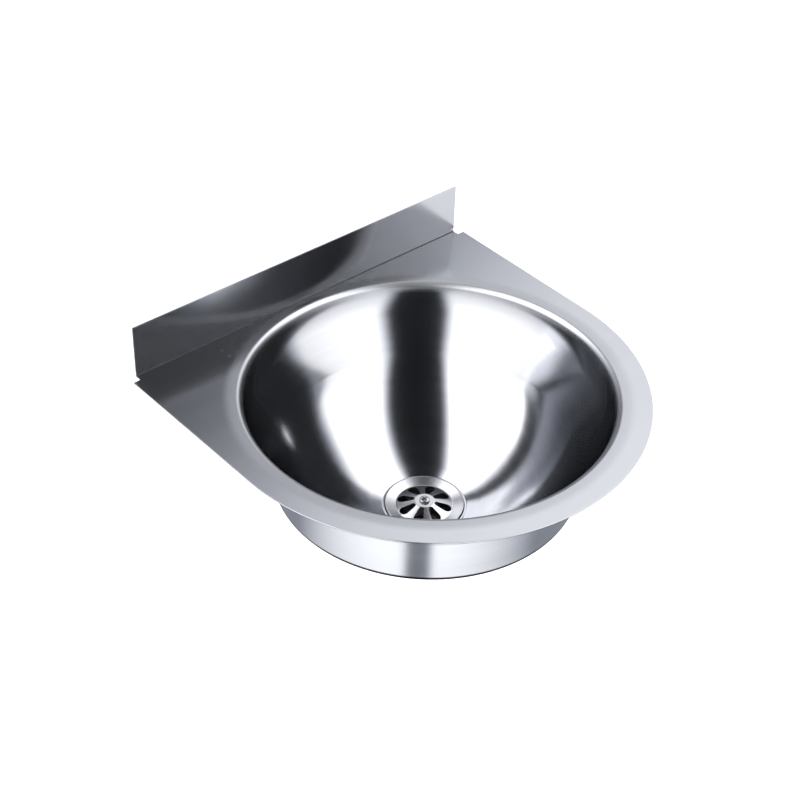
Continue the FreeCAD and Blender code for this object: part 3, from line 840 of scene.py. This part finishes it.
def make_strainer():
    """Pressed dish with eight slots. A flat net of triangles is lifted to the section."""
    path = strainer_path()
    face_start = next(i for i, (point, _) in enumerate(path)
                      if point.x < STRAINER_RADIUS - STRAINER_EDGE_BEND)
    face_path = path[face_start:]
    rim_radius = face_path[0][0].x
    slots = [turned_about_hub(slot_outline(), radians(SLOT_TURN + number * 360 / SLOT_COUNT))
             for number in range(SLOT_COUNT)]
    points, edges = looped([circle(rim_radius, RIM_STEPS), circle(SCREW_HOLE_RADIUS, HOLE_STEPS),
                            *slots])
    last_radius = rim_radius
    for radius in (point.x for point, _ in face_path[1:-1]):
        gap = last_radius - radius
        if gap < NET_MIN_GAP:
            continue
        extra = max(1, round(gap / NET_STEP))
        for step in range(1, extra + 1):
            ring_radius = last_radius - gap * step / extra
            if ring_radius < SCREW_HOLE_RADIUS + NET_MARGIN:
                continue
            steps = min(RIM_STEPS, max(HOLE_STEPS, round(2 * pi * ring_radius / NET_STEP)))
            points += [point for point in circle(ring_radius, steps)
                       if not any(inside(point, slot, NET_MARGIN) for slot in slots)]
        last_radius = radius
    flat_points, _, triangles, *_ = delaunay_2d_cdt(points, edges, [], 0, NET_EPSILON)

    def lifted(point):
        """Upper and under point of the sheet above a point of the flat net."""
        height, left = at_radius(face_path, point.length)
        out = point.normalized()
        under = point.length + left.x * STRAINER_SHEET
        return (AXIS + Vector((*(out * point.length), height)),
                AXIS + Vector((*(out * under), height + left.y * STRAINER_SHEET)))

    bm = bmesh.new()
    pairs = [tuple(bm.verts.new(p) for p in lifted(point)) for point in flat_points]
    uses = {}
    for triangle in triangles:
        middle = middle_of([flat_points[i] for i in triangle])
        if middle.length < SCREW_HOLE_RADIUS or any(inside(middle, slot) for slot in slots):
            continue
        bm.faces.new([pairs[i][0] for i in triangle])
        bm.faces.new([pairs[i][1] for i in reversed(triangle)])
        for a, b in zip(triangle, triangle[1:] + triangle[:1]):
            uses.setdefault(frozenset((a, b)), []).append((a, b))
    for used in uses.values():
        a, b = used[0]
        on_rim = min(flat_points[a].length, flat_points[b].length) > rim_radius - ON_RIM
        if len(used) == 1 and not on_rim:
            bm.faces.new((pairs[a][0], pairs[a][1], pairs[b][1], pairs[b][0]))
    count = face_start + 1
    rim = sheet_section(path[:count], STRAINER_SHEET)
    # The open end of the rim's section joins the net, so its closing strip is left out.
    spin_section(bm, rim[count:] + rim[:count], RIM_STEPS, closed=False)
    bmesh.ops.remove_doubles(bm, verts=bm.verts, dist=SEAM_MERGE)
    drop_loose(bm)
    strainer = to_object("strainer_plate", bm, strainer_finish)
    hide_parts("strainer")


def make_seal():
    """Soft ring pressed flat under the strainer's edge, of which a thin line shows."""
    corners = [(SEAL_OUTER, SEAT_TOP), (SEAL_OUTER, SEAT_TOP + SEAL_THICK),
               (SEAL_INNER, SEAT_TOP + SEAL_THICK)]
    section = [point for point, _ in bent_path(corners, [SEAL_BEND])]
    section.append(Vector((SEAL_INNER, SEAT_TOP)))
    seal = spun("seal_ring", section, rubber_finish, steps=RIM_STEPS)
    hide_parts("flange_seal")


def cross_outline(scale=1.0):
    """Outline of the screw's cross recess, anticlockwise."""
    near, far = CROSS_HALF_WIDTH * scale, CROSS_REACH * scale
    arm = [Vector((far, -near)), Vector((far, near)), Vector((near, near))]
    return [point for quarter in range(4) for point in turned_about_hub(arm, quarter * pi / 2)]


def in_cross(point):
    short, long = sorted((abs(point.x), abs(point.y)))
    return long < CROSS_REACH and short < CROSS_HALF_WIDTH


def make_screw():
    """Pan-head screw with a cross recess. Its shank runs down into the insert."""
    head_radius, top = SCREW_HIGH.x, SCREW_HIGH.z
    crown_radius = head_radius - HEAD_ROUND
    points, edges = looped([circle(crown_radius, HEAD_STEPS), cross_outline()])
    for share in CROWN_RINGS:
        points += [point for point in circle(crown_radius * share, CROWN_STEPS)
                   if not in_cross(point)]
    net, _, triangles, *_ = delaunay_2d_cdt(points, edges, [], 0, NET_EPSILON)
    bm = bmesh.new()

    def placed_at(point, height):
        return bm.verts.new(AXIS + Vector((point.x, point.y, height)))

    def crown(reach):
        return top - HEAD_CROWN * (reach / head_radius) ** 2

    raised = [placed_at(point, crown(point.length)) for point in net]
    for triangle in triangles:
        if not in_cross(middle_of([net[i] for i in triangle])):
            bm.faces.new([raised[i] for i in triangle])
    mouth = [placed_at(point, crown(point.length)) for point in cross_outline()]
    floor = [placed_at(point, top - CROSS_DEPTH) for point in cross_outline(CROSS_TAPER)]
    recess = [bm.faces.new(floor), *band(bm, mouth, floor)]
    edge_top = crown(head_radius)
    rings = [[placed_at(point, height) for point in circle(radius, HEAD_STEPS)]
             for radius, height in (
                 (crown_radius, crown(crown_radius)),
                 (head_radius - HEAD_EASE, edge_top - HEAD_SHOULDER),
                 (head_radius, edge_top - HEAD_ROUND),
                 (head_radius, HUB_TOP), (SHANK_RADIUS, HUB_TOP),
                 (SHANK_RADIUS, SCREW_LOW.z + POINT_LENGTH), (POINT_RADIUS, SCREW_LOW.z))]
    bm.faces.new(rings[-1])
    for upper, lower in zip(rings, rings[1:]):
        band(bm, upper, lower)
    # The cross recess takes the near-black finish, which is painted shade.
    for face in recess:
        face.material_index = 1
    drop_loose(bm)
    screw = to_object("cross_head_screw", bm, fastener_finish, recess_shade_finish)
    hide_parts("strainer_screw")


# ---- details on the hidden side ----

def add_bead(bm, course, closed=False):
    """A rippled weld bead along a row of points."""
    count = len(course)
    rings = []
    for index, point in enumerate(course):
        before = course[index - 1] if closed or index else point
        after = course[(index + 1) % count] if closed or index + 1 < count else point
        way = (after - before).normalized()
        side = (way.cross(UP) if abs(way.z) < UPRIGHT else Vector((1, 0, 0))).normalized()
        above = side.cross(way)
        ripple = abs(sin(pi * index / RIPPLE_STEPS))
        size = BEAD_RADIUS * (RIPPLE_LEVEL + RIPPLE_RISE * ripple)
        if not closed:
            size *= min(1, BEAD_END + BEAD_GROWTH * min(index, count - 1 - index))
        rings.append([bm.verts.new(point + (side * cos(turn) + above * sin(turn)) * size)
                      for turn in (2 * pi * i / BEAD_SIDES for i in range(BEAD_SIDES))])
    if closed:
        rings.append(rings[0])
    else:
        bm.faces.new(rings[0])
        bm.faces.new(rings[-1])
    for here, there in zip(rings, rings[1:]):
        band(bm, here, there)


def straight_course(start, end):
    start, end = Vector(start), Vector(end)
    steps = max(BEAD_MIN_STEPS, round((end - start).length / BEAD_STEP))
    return [start.lerp(end, step / steps) for step in range(steps + 1)]


def make_round_weld(name, radius, height):
    """A bead of whole ripples about the bowl's axis."""
    ripples = round(2 * pi * radius / BEAD_STEP / RIPPLE_STEPS)
    ring = circle(radius, ripples * RIPPLE_STEPS)
    bm = bmesh.new()
    add_bead(bm, [AXIS + Vector((*point, height)) for point in ring], closed=True)
    weld = to_object(name, bm, weld_finish)


def make_fixing_welds():
    """Stitches that hold the hangers, their gussets and the earth tag."""
    bm = bmesh.new()
    leg = GUSSET_HIGH.y

    def stitch(x, start_y, end_y):
        """A bead along the underside of the deck."""
        add_bead(bm, straight_course((x, start_y, DECK_UNDER), (x, end_y, DECK_UNDER)))

    for way in (-1, 1):
        for face in (GUSSET_LOW.x, GUSSET_HIGH.x):
            x = way * face
            for start in (GUSSET_LOW.y + STITCH_INSET, leg - STITCH_REAR_INSET - SHORT_STITCH):
                stitch(x, start, start + SHORT_STITCH)
            for start in (GUSSET_LOW.z + STITCH_INSET,
                          GUSSET_HIGH.z - STITCH_TOP_INSET - STITCH):
                add_bead(bm, straight_course((x, leg, start), (x, leg, start + STITCH)))
        for side in (HANGER_LOW.x, HANGER_HIGH.x):
            stitch(way * side, leg + HOOK_WELD_START, HANGER_HIGH.y - HOOK_WELD_END)
    add_bead(bm, straight_course((TAG_LOW.x + TAG_WELD_INSET, TAG_LOW.y, DECK_UNDER),
                                 (TAG_HIGH.x - TAG_WELD_INSET, TAG_LOW.y, DECK_UNDER)))
    welds = to_object("fixing_welds", bm, weld_finish)


def make_tail_thread():
    """Helical ridge on the waste's tail, that fades in and out over a third of a turn."""
    bm = bmesh.new()
    rows = []
    turns = THREAD_LENGTH / THREAD_PITCH
    run_out = THREAD_STEPS / 3
    for step in range(round(turns * THREAD_STEPS) + 1):
        turn = 2 * pi * step / THREAD_STEPS
        height = WASTE_LOW.z + THREAD_START + THREAD_PITCH * step / THREAD_STEPS
        out = Vector((cos(turn), sin(turn), 0))
        crest = THREAD_HEIGHT * min(1, step / run_out, (turns * THREAD_STEPS - step) / run_out)
        rows.append([bm.verts.new(AXIS + out * (TAIL_RADIUS + reach)
                                  + UP * (height + THREAD_PITCH * rise))
                     for reach, rise in ((THREAD_ROOT, -THREAD_FOOT), (crest, -THREAD_CREST),
                                         (crest, THREAD_CREST), (THREAD_ROOT, THREAD_FOOT))])
    for here, there in zip(rows, rows[1:]):
        band(bm, here, there)
    bm.faces.new(rows[0])
    bm.faces.new(rows[-1])
    thread = to_object("tail_thread", bm, plastic_finish)


def dress_solids():
    """Finishes for the pieces whose own solid is shown."""
    finishes = {"fixing_steel": fixing_finish, "fastener_steel": fastener_finish,
                "insert_brass": brass_finish, "seal_rubber": rubber_finish,
                "waste_plastic": plastic_finish}
    slots = {part["node"]: part["material_slot"] for part in frame["record"]["subparts"]}
    for name, piece in frame["nodes"].items():
        if slots[name] in finishes:
            piece.data.materials.clear()
            piece.data.materials.append(finishes[slots[name]])


# ======== studio ========

# The studio is drawn by direction: two long softboxes run overhead from the front to the back
# and leave a dark gap between them. Each straight edge is a plane through the sink, given by the
# way its lit side faces, how far along that way it starts, and how soft it is.
# A ramp gives where it starts and ends, and the brightness at both ends.
DOWN, REAR, FRONT, RIGHT, LEFT = (0, 0, -1), (0, 1, 0), (0, -1, 0), (1, 0, 0), (-1, 0, 0)
RIGHT_BOX_OUTER = ((-1, 0.06, 0), -0.82, 0.09)
RIGHT_BOX_INNER = ((0.834, -0.276, -0.39), -0.045, 0.09)
RIGHT_BOX_REAR = (FRONT, -0.60, 0.06)
RIGHT_BOX_RETURN = (REAR, 0.42, 0.06)
RETURN_CEILING = (DOWN, -0.78, 0.04)
LEFT_BOX_INNER = ((-0.679, 0.699, -0.19), 0.035, 0.07)
LEFT_BOX_REAR = (FRONT, -0.70, 0.06)
LEFT_BOX_OUTER = (LEFT, -0.12, 0.1)
BOX_RAMP = (-0.02, 0.7, 0.84, 2.6)  # with height
RIGHT_BOX_FADE = (-0.45, 0.05, 0.5, 1.0)  # towards the back
BEHIND_EDGES = ((REAR, 0.70, 0.08), (LEFT, 0.0, 0.15))
BEHIND_RAMP = (0.0, 0.6, 0.12, 0.72)

# Cards that only steel seen in steel shows. A card is its edges and then its brightness, and
# the brightness of the grey and the bright card is a ramp.
GREY_CARD_FRONT = (REAR, -0.45, 0.08)
GREY_CARD_TOP = (DOWN, -0.30, 0.05)
GREY_CARD_EASE = (-0.88, -0.42, 0.0, 1.0)
GREY_CARD_END = (-0.40, -0.24, 1.0, 0.0)
GREY_CARD_LEVEL = 0.8
GREY_CARD_BASE = 0.05
LOW_CARD = (LEFT_BOX_INNER, (DOWN, -0.28, 0.06), 2.2)
BRIGHT_CARD = ((FRONT, 0.565, 0.035), (UP, 0.495, 0.03))
BRIGHT_CARD_RAMP = (0.53, 0.60, 0.0, 3.3)
REAR_CARD = ((REAR, 0.40, 0.06), (RIGHT, -0.42, 0.06), (LEFT, -0.10, 0.06),
             (UP, 0.55, 0.05), 2.0)
TOP_CARD = ((UP, 0.90, 0.04), (REAR, -0.25, 0.08), 0.35)
ZENITH_CARD = ((UP, 0.90, 0.025), (RIGHT, -0.36, 0.04), (LEFT, -0.07, 0.05),
               (REAR, -0.29, 0.04), 1.7)
CARD_HORIZON = (UP, -0.02, 0.04)
SECOND_LOOK = (2.4, 2.6)  # Ray Depth here is 2 after one reflection and 3 after two
THIRD_LOOK = (3.4, 3.6)
THIRD_LOOK_LEVEL = 0.12  # what is left of the cards one reflection later

FLOOR_TURN = radians(-51)  # azimuth from the front where the floor is brightest
FLOOR_WAY = Vector((sin(FLOOR_TURN), -cos(FLOOR_TURN), 0))
STRIP_TURN = radians(-46)  # azimuth of the dark strip on the floor
STRIP_ACROSS = Vector((cos(STRIP_TURN), sin(STRIP_TURN), 0))
STRIP_HALF_WIDTH = 0.12
STRIP_SOFTNESS = 0.04
STRIP_LEVEL = 0.16
STRIP_END = (-FLOOR_WAY, 0.0, 0.07)
FLOOR_RAMP = (-0.11, 0.8, 0.36, 2.1)
SHADE_UNDER = (UP, -0.73, 0.04)  # the sink's own shade, straight below
SHADE_LEVEL = 0.05
WALL_FILL = ((REAR, 0.50, 0.15), (DOWN, -0.45, 0.1), 0.2)  # for looks from behind
FLOOR_BEYOND = ((RIGHT, 0.50, 0.04), (FRONT, 0.50, 0.05), (UP, -0.575, 0.02), 0.75)
HORIZON = (UP, -0.06, 0.06)
ROOM_GLOW = 0.012
COOL = (0.86, 0.93, 1.1)  # dim parts of the room are a little bluer
NEUTRAL = (0.97, 0.98, 1.0)
NEUTRAL_FROM = 1.2
WHITE = (1, 1, 1, 1)
FLOOR_Z = -2.6
FLOOR_RADIUS = 30.0
FLOOR_STEPS = 64
FLOOR_GREY = (0.9, 0.9, 0.9, 1)
FLOOR_DULLNESS = 0.9
FLOOR_GLOW = 0.6


def along(tree, ray, way):
    return vector_maths(tree, "DOT_PRODUCT", ray, Vector(way))["Value"]


def lit_side(tree, ray, edge):
    """1 on the lit side of a straight edge, 0 on the other."""
    way, reach, softness = edge
    return mapped(tree, along(tree, ray, way), reach - softness, reach + softness, smooth=True)


def lit(tree, ray, *parts):
    """Product of values and of edges, which are 1 on their lit side."""
    return product(tree, *(lit_side(tree, ray, part) if isinstance(part, tuple) else part
                           for part in parts))


def blend(tree, share, first, second):
    return node(tree, "Mix", {"Factor": share, "A": first, "B": second}, data_type="FLOAT")[0]


def softboxes(tree, ray, height):
    """The two boxes overhead, brighter towards the top, and a faint one behind."""
    rise = mapped(tree, height, *BOX_RAMP)
    fade_back = mapped(tree, along(tree, ray, FRONT), *RIGHT_BOX_FADE, True)
    inner = maths(tree, "MAXIMUM", lit(tree, ray, RIGHT_BOX_INNER),
                  lit(tree, ray, RIGHT_BOX_RETURN, RETURN_CEILING))
    right_box = lit(tree, ray, inner, RIGHT_BOX_OUTER, RIGHT_BOX_REAR, rise, fade_back)
    left_box = lit(tree, ray, LEFT_BOX_INNER, LEFT_BOX_REAR, LEFT_BOX_OUTER, rise)
    behind = lit(tree, ray, *BEHIND_EDGES, mapped(tree, height, *BEHIND_RAMP))
    return maths(tree, "ADD", maths(tree, "ADD", right_box, left_box), behind)


def lit_floor(tree, ray):
    """Bright floor, dimmer round the back, with a dark strip and the sink's own shade."""
    ground = mapped(tree, along(tree, ray, FLOOR_WAY), *FLOOR_RAMP)
    strip = maths(tree, "ABSOLUTE", along(tree, ray, STRIP_ACROSS))
    strip = mapped(tree, strip, STRIP_HALF_WIDTH - STRIP_SOFTNESS,
                   STRIP_HALF_WIDTH + STRIP_SOFTNESS, STRIP_LEVEL, 1.0, True)
    strip = maths(tree, "MAXIMUM", strip, lit(tree, ray, STRIP_END))
    shade = maths(tree, "MAXIMUM", lit(tree, ray, SHADE_UNDER), SHADE_LEVEL)
    return maths(tree, "ADD", lit(tree, ray, *FLOOR_BEYOND), product(tree, ground, strip, shade))


def far_cards(tree, ray):
    """What steel shows of other steel: cards that the first reflection doesn't see."""
    across = along(tree, ray, RIGHT)
    ease = maths(tree, "POWER", mapped(tree, across, *GREY_CARD_EASE), 2.0)
    cards = product(tree, maths(tree, "MULTIPLY_ADD", ease, GREY_CARD_LEVEL, GREY_CARD_BASE),
                    mapped(tree, across, *GREY_CARD_END, True),
                    maths(tree, "MAXIMUM", lit(tree, ray, GREY_CARD_FRONT),
                          lit(tree, ray, GREY_CARD_TOP)))
    bright = (mapped(tree, across, *BRIGHT_CARD_RAMP, True), *BRIGHT_CARD)
    for card in (LOW_CARD, bright, REAR_CARD, TOP_CARD, ZENITH_CARD):
        cards = maths(tree, "ADD", cards, lit(tree, ray, *card))
    return maths(tree, "MULTIPLY", cards, lit(tree, ray, CARD_HORIZON))


def make_studio():
    world = bpy.data.worlds.new("studio")
    bpy.context.scene.world = world
    world.use_nodes = True
    tree = world.node_tree
    tree.nodes.clear()
    ray = node(tree, "TexCoord")["Generated"]
    height = along(tree, ray, UP)
    near = blend(tree, lit(tree, ray, HORIZON), lit_floor(tree, ray),
                 softboxes(tree, ray, height))
    near = maths(tree, "MAXIMUM", near, lit(tree, ray, *WALL_FILL))
    path = node(tree, "LightPath")
    again = mapped(tree, path["Ray Depth"], *SECOND_LOOK)
    once_more = mapped(tree, path["Ray Depth"], *THIRD_LOOK, 1.0, THIRD_LOOK_LEVEL)
    glow = blend(tree, again, near, maths(tree, "MULTIPLY", far_cards(tree, ray), once_more))
    glow = maths(tree, "ADD", glow, ROOM_GLOW)
    tint = blend_colour(tree, mapped(tree, glow, 0.0, NEUTRAL_FROM), COOL, NEUTRAL)
    seen = node(tree, "Background", {"Color": WHITE, "Strength": 1.0})[0]
    lighting = node(tree, "Background", {"Color": tint, "Strength": glow})[0]
    mixed = node(tree, "MixShader", {0: path["Is Camera Ray"], 1: lighting, 2: seen})[0]
    node(tree, "OutputWorld", {"Surface": mixed})


def make_floor():
    """Plain pale floor far below, so that it doesn't hide looks from underneath."""
    bm = bmesh.new()
    bmesh.ops.create_circle(bm, cap_ends=True, segments=FLOOR_STEPS, radius=FLOOR_RADIUS,
                            matrix=Matrix.Translation((0, 0, FLOOR_Z)))
    paint, _ = new_material("floor_pale", Base_Color=FLOOR_GREY, Roughness=FLOOR_DULLNESS,
                            Emission_Color=WHITE, Emission_Strength=FLOOR_GLOW)
    floor = linked("floor", to_mesh("floor", bm, paint))
    floor.visible_glossy = False


CAMERA_AZIMUTH = -41.8964
CAMERA_ELEVATION = 38.4483
CAMERA_ROLL = 1.9442
CAMERA_DISTANCE = 1.5442
CAMERA_TARGET = Vector((-0.0299, -0.1764, 0.045))
CAMERA_LENS = 77.99
CAMERA_CLIP = (0.05, 100)


def make_camera():
    turn, rise = radians(CAMERA_AZIMUTH), radians(CAMERA_ELEVATION)
    ahead = Vector((-sin(turn) * cos(rise), cos(turn) * cos(rise), -sin(rise)))
    level = Vector((cos(turn), sin(turn), 0))
    tilt = Matrix.Rotation(radians(CAMERA_ROLL), 3, -ahead)
    right = tilt @ level
    above = right.cross(ahead)
    data = bpy.data.cameras.new("camera")
    data.lens = CAMERA_LENS
    data.clip_start, data.clip_end = CAMERA_CLIP
    camera = linked("camera", data)
    facing = Matrix((right, above, -ahead)).transposed().to_4x4()
    camera.matrix_world = Matrix.Translation(CAMERA_TARGET - ahead * CAMERA_DISTANCE) @ facing
    bpy.context.scene.camera = camera


make_bowl()
make_skirt()
make_deck()
make_strainer()
make_screw()
make_seal()
make_round_weld("skirt_weld", SKIRT_RADIUS - SHEET,
                dry_side_height(SKIRT_RADIUS - SHEET) - SKIRT_BEAD_SINK)
make_round_weld("rim_weld", LIP_RADIUS, DECK_UNDER - RIM_BEAD_SINK)
make_fixing_welds()
make_tail_thread()
dress_solids()
make_studio()
make_floor()
make_camera()
bpy.context.scene.view_settings.view_transform = "Standard"
